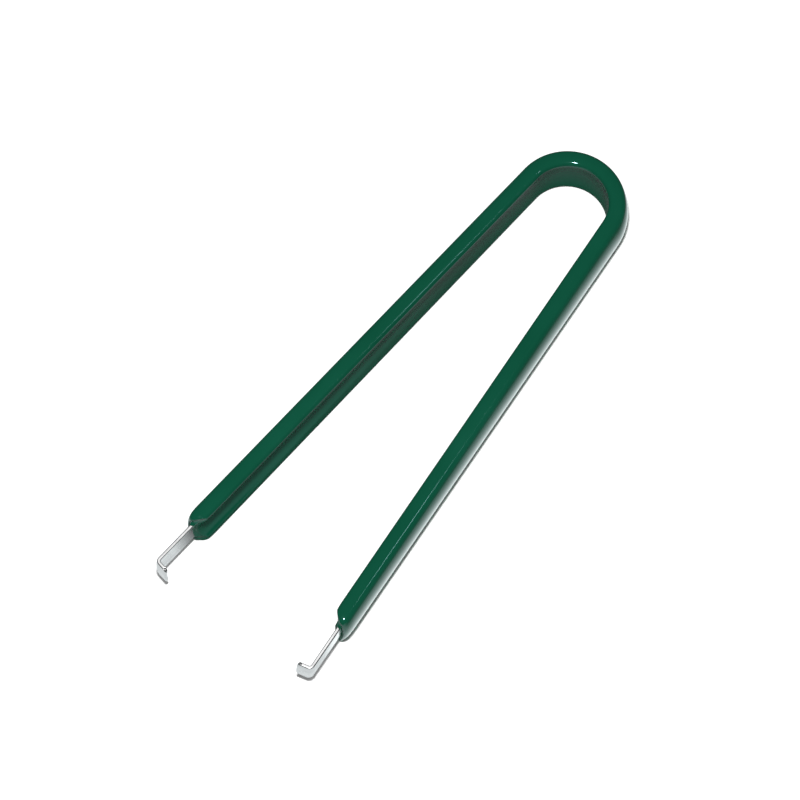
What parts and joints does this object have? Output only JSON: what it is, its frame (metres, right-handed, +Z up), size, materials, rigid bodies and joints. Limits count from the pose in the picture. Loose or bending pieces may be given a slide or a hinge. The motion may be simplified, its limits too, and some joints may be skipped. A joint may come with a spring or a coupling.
{
  "type": "keyboard switch puller",
  "caption": "Narrow U of spring steel dipped in green vinyl, with a bare tab and an inward hook on each leg, for gripping a switch or chip and lifting it from its socket.",
  "frame": {"origin": "middle of the underside of the overall box, on the surface that the part lies on", "axes": "+X from the bow towards the hooks, +Y across the gap between the legs, +Z up, along the strip's width"},
  "size_m": [0.1186, 0.0384, 0.01],
  "materials": {
    "spring_steel": "bright rolled",
    "green_vinyl": "glossy dipped vinyl"
  },
  "bodies": {
    "root": {"spring_strip": "spring_steel", "dipped_coating": "green_vinyl"}
  },
  "joints": []
}
